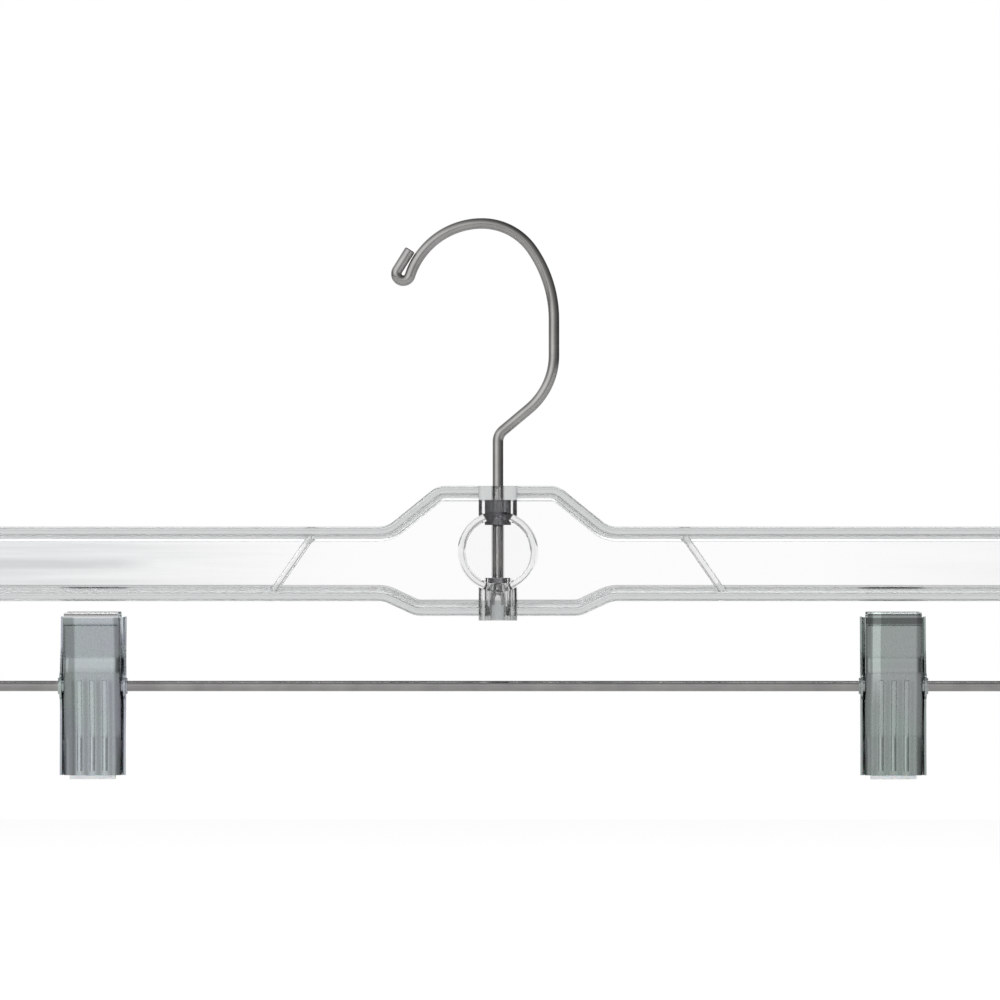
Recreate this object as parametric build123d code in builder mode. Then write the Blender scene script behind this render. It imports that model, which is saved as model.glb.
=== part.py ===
from build123d import *
import math
import os

# Skirt hanger: a clear moulded bar on a swivelling wire hook, with a steel rod slung under the bar
# and two sprung clips that slide along the rod. All lengths are in millimetres.
# X runs along the bar, Y from the front to the back, Z up. The origin is the rail seat, the lowest
# point of the inside of the hook's crown, where the hanger rests on a rail.

# Overall sizes
HANGER_LENGTH = 355.6
SEAT_TO_HUMP = 85.7
HUMP_RISE = 13.6
BAR_HEIGHT = 24.8
HUMP_SAG = 4.9
BAR_TO_ROD = 28.3
STEM_OFFSET = 5.3
ROD_DIAMETER = 3.5

# Clear bar: an I-section, deeper at the centre, where it carries the hook
FLANGE_DEPTH = 9.6
FLANGE_THICKNESS = 3.2
FLANGE_FACE_FLAT = 0.3
FLANGE_WALL_FLAT = 0.05
WEB_THICKNESS = 2.2
HUMP_TOP_HALF = 20.2
HUMP_SLOPE_RUN = 16.8
HUMP_LOW_HALF = 27.5
HUMP_LOW_SLOPE_RUN = 10.5
HUMP_CREST_ROUND = 8.0
HUMP_FOOT_ROUND = 8.0
SHOULDER_ROUND = 10.0
SHOULDER_LOW_ROUND = 6.0
RIB_TOP_HALF = 61.0
RIB_LOW_HALF = 76.0
RIB_THICKNESS = 2.4
RIB_DEPTH = 6.8

# End arms and the blind bores that hold the rod
ARM_WIDTH = 8.0
ARM_BOSS_DIAMETER = 10.0
ARM_CORNER_ROUND = 2.5
ARM_END_ROUND = 2.0
ROD_BORE_DEPTH = 6.0
ROD_BORE_CLEARANCE = 0.05
ROD_END_GAP = 0.2

# Medallion and stem socket
MEDALLION_DIAMETER = 26.8
MEDALLION_DEPTH = 13.2
MEDALLION_RIM_WIDTH = 2.6
MEDALLION_RIM_RAISE = 0.5
HUMP_TOP_TO_MEDALLION = 21.9
SOCKET_WIDTH = 12.8
SOCKET_CORNER_ROUND = 1.8
SOCKET_BELOW_BAR = 1.5
STEM_BORE_DIAMETER = 4.3

# Bushing, washer and split end of the stem
BUSHING_DIAMETER = 8.7
BUSHING_LENGTH = 8.3
BUSHING_FIT = 0.05
BUSHING_FROM_TOP = 4.7
STEM_RUNNING_FIT = 0.1
RECESS_DIAMETER = 9.0
RECESS_FROM_TOP = 30.6
WASHER_DIAMETER = 8.7
WASHER_THICKNESS = 1.7
WASHER_PLAY = 0.1
HEAD_DIAMETER = 8.4
HEAD_LENGTH = 7.2
HEAD_RIM_LENGTH = 0.9
HEAD_SPLIT_WIDTH = 4.0
HEAD_SPLIT_HEIGHT = 3.4

# Wire hook: arcs that follow each other, radii on the wire's centre line
WIRE_DIAMETER = 3.6
FRONT_RADIUS = 25.3
FRONT_TURN_DEG = 72.0
CROWN_RADIUS = 20.3
CROWN_TURN_DEG = 55.0
BACK_RADIUS = 40.6
BACK_RUN = 12.0
HEEL_RADIUS = 23.3
HEEL_TURN_DEG = 50.0
NECK_RADIUS = 4.7
FOLD_RADIUS = 2.3
FOLD_TURN_DEG = 194.0
FOLD_RETURN = 8.0
WIRE_END_CHAMFER = 0.3

# Clips: where they stand on the rod, and their height above and below it
LEFT_CLIP_FROM_END = 42.7
RIGHT_CLIP_FROM_END = 46.0
CLIP_ABOVE_ROD = 24.7
CLIP_BELOW_ROD = 31.0
SHEET = 0.7
JAW_HALF_WIDTH = 9.5
JAW_NEST_GAP = 0.8
GRIP_FLAT = 15.0
KNUCKLE_OUT = 7.2
KNUCKLE_UP = 4.7
WAIST_OUT = 6.0
WAIST_UP = 9.3
TAB_TILT_DEG = 11.0
GRIP_ROUND = 12.0
KNUCKLE_ROUND = 5.0
WAIST_ROUND = 5.0
SIDE_BEND_ROUND = 1.8
CURL_HALF_WIDTH = 9.0
CURL_RADIUS = 1.6
CURL_TURN_DEG = 250.0
FLANGE_REACH = 2.2
REAR_FLANGE_EXTRA = 1.0
TAB_FLANGE_REACH = 2.0
EAR_RADIUS = 4.4
EAR_TOP = 12.5
EAR_LOW = 8.0
EMBOSS_RADIUS = 1.0
EMBOSS_PROUD = 0.5
EMBOSS_PITCH = 4.2
EMBOSS_TOP = 2.0
EMBOSS_LOW = 28.3
EMBOSS_COUNT = 3

# Hinge tube, spring and pads of a clip
TUBE_DIAMETER = 4.3
TUBE_ROD_CLEARANCE = 0.07
TUBE_EAR_CLEARANCE = 0.05
TUBE_RIM_DIAMETER = 5.4
TUBE_RIM_LENGTH = 0.5
TUBE_RIM_GAP = 0.05
SPRING_WIRE = 0.9
SPRING_TAB_GAP = 0.15
SPRING_PITCH = 1.45
SPRING_WRAPS = 7
SPRING_LEG = 12.5
PAD_THICKNESS = 1.6
PAD_GAP = 0.15
PAD_HALF_WIDTH = 7.6
PAD_HEIGHT = 13.0
PAD_LIP = 1.3
PAD_FIT = 0.02
PAD_ROUND = 0.4

# How far cuts run past what they cut, and how near an edge lies to the place it is picked by
OVERRUN = 1.0
TOUCH = 0.01

wire_radius = WIRE_DIAMETER / 2
rod_radius = ROD_DIAMETER / 2
half_length = HANGER_LENGTH / 2
hump_top = -SEAT_TO_HUMP
bar_top = hump_top - HUMP_RISE
bar_bottom = bar_top - BAR_HEIGHT
hump_bottom = bar_bottom - HUMP_SAG
rod_z = bar_bottom - BAR_TO_ROD
arm_inner = half_length - ARM_WIDTH
socket_bottom = hump_bottom - SOCKET_BELOW_BAR

# The bar's own planes: front view and plan view, both centred on the stem
front_plane = Plane(origin=(STEM_OFFSET, 0, 0), x_dir=(1, 0, 0), z_dir=(0, -1, 0))
stem_axis = Axis((STEM_OFFSET, 0, 0), (0, 0, 1))


def mirrored(right_half):
    """A closed outline that is the same on both sides of the stem, from its right half."""
    left_half = [(-x, z) for x, z in reversed(right_half)]
    return right_half + left_half


def both_sides(right_half):
    """The corner radii that go with a mirrored outline."""
    return right_half + list(reversed(right_half))


# Clear body
# The bar's outline, from the top of the hump round its right end to the low point of the hump
bar_corners = [
    (HUMP_TOP_HALF, hump_top),
    (HUMP_TOP_HALF + HUMP_SLOPE_RUN, bar_top),
    (half_length, bar_top),
    (half_length, bar_bottom),
    (HUMP_LOW_HALF + HUMP_LOW_SLOPE_RUN, bar_bottom),
    (HUMP_LOW_HALF, hump_bottom),
]
bar_rounds = [
    HUMP_CREST_ROUND,
    HUMP_FOOT_ROUND,
    SHOULDER_ROUND,
    SHOULDER_LOW_ROUND,
    HUMP_FOOT_ROUND,
    HUMP_CREST_ROUND,
]
bushing_top = hump_top - BUSHING_FROM_TOP
bushing_bottom = bushing_top - BUSHING_LENGTH
recess_top = hump_top - RECESS_FROM_TOP
medallion_z = hump_top - HUMP_TOP_TO_MEDALLION
# The edges of the flanges are almost full rounds, and fillets take up the rest of their inner walls
flange_round = (FLANGE_THICKNESS - FLANGE_FACE_FLAT) / 2
web_fillet = (FLANGE_DEPTH - WEB_THICKNESS) / 2 - flange_round - FLANGE_WALL_FLAT

with BuildSketch(front_plane) as bar_face:
    with BuildLine():
        FilletPolyline(*mirrored(bar_corners), radius=both_sides(bar_rounds), close=True)
    make_face()

with BuildSketch(front_plane) as pocket_face:
    add(bar_face.sketch_local)
    offset(amount=-FLANGE_THICKNESS, kind=Kind.INTERSECTION)

medallion_axis = Axis((STEM_OFFSET, 0, medallion_z), (0, 1, 0))
rim_outside = MEDALLION_DIAMETER / 2
rim_inside = rim_outside - MEDALLION_RIM_WIDTH
rim_foot = MEDALLION_DEPTH / 2

# The rim follows the outline and runs down the two end arms
arm_top = bar_bottom + SHOULDER_LOW_ROUND
arm_bottom = rod_z - ARM_BOSS_DIAMETER / 2
with BuildSketch(front_plane) as rim_face:
    add(bar_face.sketch_local)
    for side in (-1, 1):
        with Locations((side * (arm_inner + ARM_WIDTH / 2), (arm_top + arm_bottom) / 2)):
            Rectangle(ARM_WIDTH, arm_top - arm_bottom)
    inner_corners = vertices().filter_by(
        lambda v: abs(abs(v.X) - arm_inner) < TOUCH and abs(v.Y - bar_bottom) < TOUCH
    )
    fillet(inner_corners, radius=ARM_CORNER_ROUND)
    arm_ends = vertices().filter_by(lambda v: abs(v.Y - arm_bottom) < TOUCH)
    fillet(arm_ends, radius=ARM_END_ROUND)
    add(pocket_face.sketch_local, mode=Mode.SUBTRACT)

# The stem's way through the socket: bushing pocket, plain bore, and the recess of the split end
stem_bore_radius = STEM_BORE_DIAMETER / 2
bushing_pocket_radius = BUSHING_DIAMETER / 2 + BUSHING_FIT
recess_radius = RECESS_DIAMETER / 2
bore_profile = [
    (0, hump_top + OVERRUN),
    (stem_bore_radius, hump_top + OVERRUN),
    (stem_bore_radius, bushing_top + BUSHING_FIT),
    (bushing_pocket_radius, bushing_top + BUSHING_FIT),
    (bushing_pocket_radius, bushing_bottom - BUSHING_FIT),
    (stem_bore_radius, bushing_bottom - BUSHING_FIT),
    (stem_bore_radius, recess_top),
    (recess_radius, recess_top),
    (recess_radius, socket_bottom - OVERRUN),
    (0, socket_bottom - OVERRUN),
]


def edges_at_depth(part, half_depth):
    """The edges of a part that lie in the two planes at this distance from its middle plane."""
    return part.edges().filter_by(
        lambda e: abs(abs(e.center().Y) - half_depth) < TOUCH and e.bounding_box().size.Y < TOUCH
    )


with BuildPart() as body:
    extrude(bar_face.sketch, amount=WEB_THICKNESS / 2, both=True)
    extrude(rim_face.sketch, amount=FLANGE_DEPTH / 2, both=True)
    fillet(edges_at_depth(body, WEB_THICKNESS / 2), radius=web_fillet)
    fillet(edges_at_depth(body, FLANGE_DEPTH / 2), radius=flange_round)
    # Two diagonal ribs with round edges, from inside the top flange to inside the bottom flange
    for side in (-1, 1):
        rib_top = front_plane.from_local_coords(
            Vector(side * RIB_TOP_HALF, bar_top - FLANGE_THICKNESS / 2)
        )
        rib_low = front_plane.from_local_coords(
            Vector(side * RIB_LOW_HALF, bar_bottom + FLANGE_THICKNESS / 2)
        )
        with BuildSketch(Plane(origin=rib_top, x_dir=(0, 1, 0), z_dir=rib_low - rib_top)):
            SlotOverall(RIB_DEPTH, RIB_THICKNESS)
        extrude(amount=(rib_low - rib_top).length)
    # Stem socket, flush with the top of the hump, and the medallion in front of and behind it
    with BuildSketch(Plane(origin=(STEM_OFFSET, 0, socket_bottom))):
        RectangleRounded(SOCKET_WIDTH, SOCKET_WIDTH, SOCKET_CORNER_ROUND)
    extrude(amount=hump_top - socket_bottom)
    with BuildSketch(front_plane):
        with Locations((0, medallion_z)):
            Circle(MEDALLION_DIAMETER / 2)
    extrude(amount=MEDALLION_DEPTH / 2, both=True)
    # The medallion's raised rim, a low dome in section, on both of its faces
    with BuildSketch(Plane(origin=(STEM_OFFSET, 0, medallion_z))):
        for facing in (-1, 1):
            with BuildLine():
                Polyline(
                    (rim_inside, facing * rim_foot),
                    (rim_inside, 0),
                    (rim_outside, 0),
                    (rim_outside, facing * rim_foot),
                )
                ThreePointArc(
                    (rim_outside, facing * rim_foot),
                    ((rim_inside + rim_outside) / 2, facing * (rim_foot + MEDALLION_RIM_RAISE)),
                    (rim_inside, facing * rim_foot),
                )
            make_face()
    revolve(axis=medallion_axis)
    # Round bosses at the ends of the arms, with a blind bore for each end of the rod
    for side in (-1, 1):
        inner_face = STEM_OFFSET + side * arm_inner
        with BuildSketch(Plane(origin=(inner_face, 0, rod_z), z_dir=(side, 0, 0))):
            Circle(ARM_BOSS_DIAMETER / 2)
        extrude(amount=ARM_WIDTH)
    for side in (-1, 1):
        inner_face = STEM_OFFSET + side * arm_inner
        with BuildSketch(Plane(origin=(inner_face, 0, rod_z), z_dir=(side, 0, 0))):
            Circle(rod_radius + ROD_BORE_CLEARANCE)
        extrude(amount=ROD_BORE_DEPTH, mode=Mode.SUBTRACT)
    with BuildSketch(front_plane):
        Polygon(*bore_profile, align=None)
    revolve(axis=stem_axis, mode=Mode.SUBTRACT)
body.part.label = "body"

# Steel bushing, moulded into the socket, in which the stem turns
stem_hole_radius = wire_radius + STEM_RUNNING_FIT
with BuildPart() as hook_bushing:
    with BuildSketch(Plane(origin=(STEM_OFFSET, 0, bushing_bottom))):
        Circle(BUSHING_DIAMETER / 2)
        Circle(stem_hole_radius, mode=Mode.SUBTRACT)
    extrude(amount=BUSHING_LENGTH)
hook_bushing.part.label = "hook_bushing"

# Washer between the roof of the recess and the head of the stem
washer_top = recess_top - WASHER_PLAY
washer_bottom = washer_top - WASHER_THICKNESS
with BuildPart() as hook_washer:
    with BuildSketch(Plane(origin=(STEM_OFFSET, 0, washer_bottom))):
        Circle(WASHER_DIAMETER / 2)
        Circle(stem_hole_radius, mode=Mode.SUBTRACT)
    extrude(amount=WASHER_THICKNESS)
hook_washer.part.label = "hook_washer"

# Wire hook: from the folded tip over the crown, down the back, in along the heel to the stem
head_top = washer_bottom - WASHER_PLAY
head_bottom = head_top - HEAD_LENGTH
split_top = head_bottom + HEAD_SPLIT_HEIGHT
stem_end = (head_top + split_top) / 2
back_reach = CROWN_RADIUS * math.sin(math.radians(CROWN_TURN_DEG))
back_reach += BACK_RADIUS * (1 - math.sin(math.radians(CROWN_TURN_DEG)))
heel_cos = math.cos(math.radians(HEEL_TURN_DEG))
heel_reach = (HEEL_RADIUS + NECK_RADIUS) * (1 - heel_cos)
diagonal_run = (back_reach - heel_reach - STEM_OFFSET) / math.sin(math.radians(HEEL_TURN_DEG))

with BuildPart() as hook:
    with BuildLine(Plane.XZ) as wire_route:
        front = JernArc((0, wire_radius), (-1, 0), FRONT_RADIUS, FRONT_TURN_DEG)
        fold = JernArc(front @ 1, front % 1, FOLD_RADIUS, -FOLD_TURN_DEG)
        tip_return = Line(fold @ 1, fold @ 1 + (fold % 1) * FOLD_RETURN)
        crown = JernArc((0, wire_radius), (1, 0), CROWN_RADIUS, -CROWN_TURN_DEG)
        back = JernArc(crown @ 1, crown % 1, BACK_RADIUS, CROWN_TURN_DEG - 90)
        back_line = Line(back @ 1, back @ 1 + (back % 1) * BACK_RUN)
        heel = JernArc(back_line @ 1, back_line % 1, HEEL_RADIUS, -HEEL_TURN_DEG)
        diagonal = Line(heel @ 1, heel @ 1 + (heel % 1) * diagonal_run)
        neck = JernArc(diagonal @ 1, diagonal % 1, NECK_RADIUS, HEEL_TURN_DEG)
        stem = Line(neck @ 1, (STEM_OFFSET, stem_end))
    with BuildSketch(Plane(origin=stem @ 1, z_dir=(0, 0, 1))):
        Circle(wire_radius)
    sweep(path=wire_route.wire())
    cut_end = edges().filter_by(GeomType.CIRCLE).sort_by_distance(tip_return @ 1)[0]
    chamfer(cut_end, length=WIRE_END_CHAMFER)
    # The lower end, flared out under the washer, and split so that its two halves spread
    with BuildSketch(front_plane):
        Polygon(
            (0, head_top),
            (wire_radius, head_top),
            (HEAD_DIAMETER / 2, head_bottom + HEAD_RIM_LENGTH),
            (HEAD_DIAMETER / 2, head_bottom),
            (0, head_bottom),
            align=None,
        )
    revolve(axis=stem_axis)
    with BuildSketch(front_plane):
        with Locations((0, head_bottom)):
            SlotOverall(2 * HEAD_SPLIT_HEIGHT, HEAD_SPLIT_WIDTH, rotation=90)
    extrude(amount=HEAD_DIAMETER, both=True, mode=Mode.SUBTRACT)
hook.part.label = "hook"

# Steel rod, its ends in the blind bores of the arms
rod_half = arm_inner + ROD_BORE_DEPTH - ROD_END_GAP
with BuildPart() as rod:
    with BuildSketch(Plane(origin=(STEM_OFFSET - rod_half, 0, rod_z), z_dir=(1, 0, 0))):
        Circle(rod_radius)
    extrude(amount=2 * rod_half)
rod.part.label = "rod"

# Clips. A jaw is drawn in side view, with its own outward direction along the sketch's first axis
# and up along the second, measured from the rod's axis, so both jaws share one drawing. This is
# their outer face, from the foot of the grip over the knuckle and the waist up to the finger tab.
tab_angle = math.radians(TAB_TILT_DEG)
tab_up = CLIP_ABOVE_ROD - SHEET - CURL_RADIUS * (1 - math.sin(tab_angle))
tab_out = WAIST_OUT + (tab_up - WAIST_UP) * math.tan(tab_angle)
tip_out = PAD_GAP / 2 + PAD_THICKNESS + SHEET
metal_foot = PAD_LIP - CLIP_BELOW_ROD
grip_top = GRIP_FLAT - CLIP_BELOW_ROD
face_points = [
    (tip_out, metal_foot),
    (tip_out, grip_top),
    (KNUCKLE_OUT, KNUCKLE_UP),
    (WAIST_OUT, WAIST_UP),
    (tab_out, tab_up),
]
face_rounds = [GRIP_ROUND, KNUCKLE_ROUND, WAIST_ROUND]
inner_line = offset(
    FilletPolyline(*face_points, radius=face_rounds), amount=SHEET, side=Side.LEFT, closed=False
)
tube_radius = TUBE_DIAMETER / 2
rear_half_width = JAW_HALF_WIDTH + JAW_NEST_GAP + SHEET
grip_slope = (KNUCKLE_OUT - tip_out) / (KNUCKLE_UP - grip_top)
tab_inward = Vector(-math.cos(tab_angle), math.sin(tab_angle))
ear_top_out = WAIST_OUT + (EAR_TOP - WAIST_UP) * math.tan(tab_angle) - TAB_FLANGE_REACH
ear_low_out = KNUCKLE_OUT - (KNUCKLE_UP + EAR_LOW) * grip_slope


def side_plane(centre_x, facing):
    """The plane of a clip's side view: out of the clip, then up, from the rod's axis."""
    return Plane(origin=(centre_x, 0, rod_z), x_dir=(0, facing, 0), z_dir=(facing, 0, 0))


def make_jaw(centre_x, facing, half_width, flange_reach):
    """A pressed jaw: a bent plate with turned-in side flanges that widen into ears round the rod."""
    side = side_plane(centre_x, facing)
    outer_face = side * FilletPolyline(*face_points, radius=face_rounds)
    inner_face = side * inner_line

    def bend_edges(part, half, face_line):
        """The edges that follow a face line at this distance from the middle of the jaw."""
        found = part.edges().filter_by(lambda e: abs(abs((e @ 0.5).X - centre_x) - half) < TOUCH)
        return found.filter_by(
            lambda e: all(
                face_line.distance_to(Vector(centre_x, (e @ t).Y, (e @ t).Z)) < TOUCH
                for t in (0, 0.5, 1)
            )
        )

    with BuildPart() as jaw:
        with BuildSketch(side):
            with BuildLine():
                FilletPolyline(*face_points, radius=face_rounds)
                offset(amount=SHEET, side=Side.LEFT)
            make_face()
        extrude(amount=half_width, both=True)
        # Side flanges, from the tab down to the foot, with the round ear of the hinge
        for end in (-1, 1):
            with BuildSketch(side.offset(end * (half_width - SHEET))):
                with BuildLine():
                    face_line = FilletPolyline(*face_points, radius=face_rounds)
                    Polyline(
                        face_line @ 1,
                        face_line @ 1 + tab_inward * TAB_FLANGE_REACH,
                        (ear_top_out, EAR_TOP),
                        (0, EAR_RADIUS),
                    )
                    ThreePointArc((0, EAR_RADIUS), (-EAR_RADIUS, 0), (0, -EAR_RADIUS))
                    Polyline(
                        (0, -EAR_RADIUS),
                        (ear_low_out - flange_reach, -EAR_LOW),
                        (tip_out - flange_reach, metal_foot),
                        face_line @ 0,
                    )
                make_face()
            extrude(amount=end * SHEET)
        # The bends between plate and flanges, rounded inside and outside
        fillet(
            bend_edges(jaw, half_width - SHEET, inner_face),
            radius=SIDE_BEND_ROUND - SHEET,
        )
        fillet(bend_edges(jaw, half_width, outer_face), radius=SIDE_BEND_ROUND)
        # Rolled bead along the top of the finger tab
        with BuildSketch(side):
            with BuildLine():
                JernArc(face_line @ 1, face_line % 1, CURL_RADIUS, -CURL_TURN_DEG)
                offset(amount=SHEET, side=Side.LEFT)
            make_face()
        extrude(amount=CURL_HALF_WIDTH, both=True)
        # Stiffening ribs pressed outwards in the grip
        for number in range(EMBOSS_COUNT):
            shift = (number - (EMBOSS_COUNT - 1) / 2) * EMBOSS_PITCH
            with BuildLine(side.offset(shift)) as rib_route:
                FilletPolyline(
                    (tip_out, -EMBOSS_LOW),
                    (tip_out, grip_top),
                    (KNUCKLE_OUT - (KNUCKLE_UP - EMBOSS_TOP) * grip_slope, EMBOSS_TOP),
                    radius=GRIP_ROUND,
                )
            rib_start = side.from_local_coords((tip_out, -EMBOSS_LOW, shift))
            with BuildSketch(Plane(origin=rib_start, x_dir=side.x_dir, z_dir=(0, 0, 1))):
                with Locations((EMBOSS_PROUD - EMBOSS_RADIUS, 0)):
                    Circle(EMBOSS_RADIUS)
                with Locations((-SHEET / 2, 0)):
                    Rectangle(
                        2 * EMBOSS_RADIUS, 2 * EMBOSS_RADIUS,
                        align=(Align.MAX, Align.CENTER), mode=Mode.SUBTRACT,
                    )
            sweep(path=rib_route.wire())
        with BuildSketch(side):
            Circle(tube_radius + TUBE_EAR_CLEARANCE)
        extrude(amount=half_width + OVERRUN, both=True, mode=Mode.SUBTRACT)
    return jaw.part


def make_tube(centre_x):
    """The hinge tube: it slides on the rod, and its rolled rims keep the ears together."""
    rod_side = Plane(origin=(centre_x, 0, rod_z), z_dir=(1, 0, 0))
    rim_start = rear_half_width + TUBE_RIM_GAP
    with BuildPart() as tube:
        with BuildSketch(rod_side):
            Circle(tube_radius)
        extrude(amount=rim_start + TUBE_RIM_LENGTH, both=True)
        for end in (-1, 1):
            with BuildSketch(rod_side.offset(end * rim_start)):
                Circle(TUBE_RIM_DIAMETER / 2)
            extrude(amount=end * TUBE_RIM_LENGTH)
        with BuildSketch(rod_side):
            Circle(rod_radius + TUBE_ROD_CLEARANCE)
        extrude(amount=rim_start + TUBE_RIM_LENGTH + OVERRUN, both=True, mode=Mode.SUBTRACT)
    return tube.part


def make_pad(centre_x, facing):
    """A soft pad on the flat of the grip, with a lip that covers the foot of the metal."""
    side = side_plane(centre_x, facing)
    pad_back = tip_out - SHEET - PAD_FIT
    pad_foot = -CLIP_BELOW_ROD
    with BuildPart() as pad:
        with BuildSketch(side):
            Polygon(
                (PAD_GAP / 2, pad_foot),
                (tip_out, pad_foot),
                (tip_out, metal_foot - PAD_FIT),
                (pad_back, metal_foot - PAD_FIT),
                (pad_back, pad_foot + PAD_HEIGHT),
                (PAD_GAP / 2, pad_foot + PAD_HEIGHT),
                align=None,
            )
        extrude(amount=PAD_HALF_WIDTH, both=True)
        face_y = facing * PAD_GAP / 2
        grip_edges = edges().filter_by(
            lambda e: abs((e @ 0).Y - face_y) < TOUCH and abs((e @ 1).Y - face_y) < TOUCH
        )
        fillet(grip_edges, radius=PAD_ROUND)
    return pad.part


# Torsion spring. Its coil goes round the hinge tube, and its two straight legs lie along the
# insides of the finger tabs, which lean outwards by the tab angle.
spring_wire_radius = SPRING_WIRE / 2
tab_distance = WAIST_OUT * math.cos(tab_angle) - WAIST_UP * math.sin(tab_angle) - SHEET
coil_radius = tab_distance - SPRING_TAB_GAP - spring_wire_radius
coil_start_deg = -math.degrees(tab_angle)
coil_turn_deg = 360 * SPRING_WRAPS + 180 + 2 * coil_start_deg
coil_length = SPRING_PITCH * coil_turn_deg / 360
coil_steps = math.ceil(coil_turn_deg / 90)


def coil_point(centre_x, share):
    """A point of the coil's centre line, and its direction there: the share runs from 0 to 1."""
    angle = math.radians(coil_start_deg - coil_turn_deg * share)
    point = Vector(
        centre_x + coil_length * (share - 1 / 2),
        coil_radius * math.cos(angle),
        rod_z + coil_radius * math.sin(angle),
    )
    round_length = coil_radius * math.radians(coil_turn_deg)
    direction = Vector(coil_length, round_length * math.sin(angle), -round_length * math.cos(angle))
    return point, direction.normalized()


def make_spring(centre_x):
    """One unbroken wire: a straight leg, the coil as pairs of arcs that follow on, a straight leg."""
    with BuildPart() as spring:
        with BuildLine() as wire_route:
            start, direction = coil_point(centre_x, 0)
            Line(start - direction * SPRING_LEG, start)
            for step in range(coil_steps):
                p0, t0 = coil_point(centre_x, step / coil_steps)
                p1, t1 = coil_point(centre_x, (step + 1) / coil_steps)
                # Both arcs of a pair have tangents of one length, and meet halfway between their ends
                chord = p1 - p0
                a = 2 * (t0.dot(t1) - 1)
                b = -2 * chord.dot(t0 + t1)
                c = chord.dot(chord)
                reach = (-b - math.sqrt(b * b - 4 * a * c)) / (2 * a)
                q0 = p0 + t0 * reach
                q1 = p1 - t1 * reach
                joint = (q0 + q1) / 2
                TangentArc(p0, joint, tangent=t0)
                TangentArc(joint, p1, tangent=q1 - q0)
            end, direction = coil_point(centre_x, 1)
            Line(end, end + direction * SPRING_LEG)
        with BuildSketch(Plane(origin=wire_route.wire() @ 0, z_dir=wire_route.wire() % 0)):
            Circle(spring_wire_radius)
        sweep(path=wire_route.wire())
    return spring.part


# The least gap between the spring's turns, measured on points of its centre line
samples_per_turn = 36
sample_count = round(coil_turn_deg / 360 * samples_per_turn)
samples = [coil_point(0, number / sample_count)[0] for number in range(sample_count + 1)]
least_gap = min(
    (samples[late] - samples[early]).length - SPRING_WIRE
    for early in range(sample_count)
    for late in range(early + samples_per_turn // 2, sample_count + 1)
)
print(f"least gap between the spring's turns: {least_gap:.3f} mm")

# Both clips, their pieces named after the end of the bar that they belong to
clip_centres = {
    "left": STEM_OFFSET - half_length + LEFT_CLIP_FROM_END,
    "right": STEM_OFFSET + half_length - RIGHT_CLIP_FROM_END,
}
pieces = [body.part, hook.part, hook_bushing.part, hook_washer.part, rod.part]
for side_name, centre_x in clip_centres.items():
    clip_pieces = {
        "front_jaw": make_jaw(centre_x, -1, JAW_HALF_WIDTH, FLANGE_REACH),
        "rear_jaw": make_jaw(centre_x, 1, rear_half_width, FLANGE_REACH + REAR_FLANGE_EXTRA),
        "hinge_tube": make_tube(centre_x),
        "front_pad": make_pad(centre_x, -1),
        "rear_pad": make_pad(centre_x, 1),
        "spring": make_spring(centre_x),
    }
    for piece_name, piece in clip_pieces.items():
        piece.label = f"{side_name}_{piece_name}"
        pieces.append(piece)

os.makedirs("parts", exist_ok=True)
for piece in pieces:
    export_step(piece, f"parts/{piece.label}.step")
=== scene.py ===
import math

import bmesh
import bpy
from mathutils import Matrix, Vector


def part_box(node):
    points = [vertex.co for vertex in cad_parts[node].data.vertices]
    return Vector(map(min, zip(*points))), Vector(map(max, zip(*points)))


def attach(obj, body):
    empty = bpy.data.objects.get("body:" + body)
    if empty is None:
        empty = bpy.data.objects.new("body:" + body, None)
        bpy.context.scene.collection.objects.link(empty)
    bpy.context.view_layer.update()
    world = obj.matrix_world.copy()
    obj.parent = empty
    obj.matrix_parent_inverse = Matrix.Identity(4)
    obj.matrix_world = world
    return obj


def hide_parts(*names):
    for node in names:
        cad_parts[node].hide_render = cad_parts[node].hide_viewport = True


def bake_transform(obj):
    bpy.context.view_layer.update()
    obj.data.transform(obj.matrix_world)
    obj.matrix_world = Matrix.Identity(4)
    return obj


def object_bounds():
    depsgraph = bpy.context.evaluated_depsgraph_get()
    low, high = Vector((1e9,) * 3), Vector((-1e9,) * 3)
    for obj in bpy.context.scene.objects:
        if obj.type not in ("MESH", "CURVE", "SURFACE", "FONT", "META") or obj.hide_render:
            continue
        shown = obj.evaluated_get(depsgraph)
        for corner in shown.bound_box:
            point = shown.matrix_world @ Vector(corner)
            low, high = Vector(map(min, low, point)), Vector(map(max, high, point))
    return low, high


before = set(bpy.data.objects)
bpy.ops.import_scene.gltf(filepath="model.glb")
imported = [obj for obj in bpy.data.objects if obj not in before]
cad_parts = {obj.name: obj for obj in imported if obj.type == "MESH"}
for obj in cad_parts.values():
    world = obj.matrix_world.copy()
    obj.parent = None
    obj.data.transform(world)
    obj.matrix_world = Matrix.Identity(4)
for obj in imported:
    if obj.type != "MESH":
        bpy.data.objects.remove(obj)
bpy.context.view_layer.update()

# Bushing
# A short turned steel sleeve, blackened. It is laid in the mould before the bar is shot round it, and
# the stem of the hook turns in it. Blackening leaves it dark, even and half dull.
MM = 0.001


def linear(hex_colour):
    """The linear colour that a shader takes, from an sRGB colour as it is written on a swatch."""
    channels = [int(hex_colour[i : i + 2], 16) / 255 for i in (1, 3, 5)]
    return [c / 12.92 if c <= 0.04045 else ((c + 0.055) / 1.055) ** 2.4 for c in channels] + [1]


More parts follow.
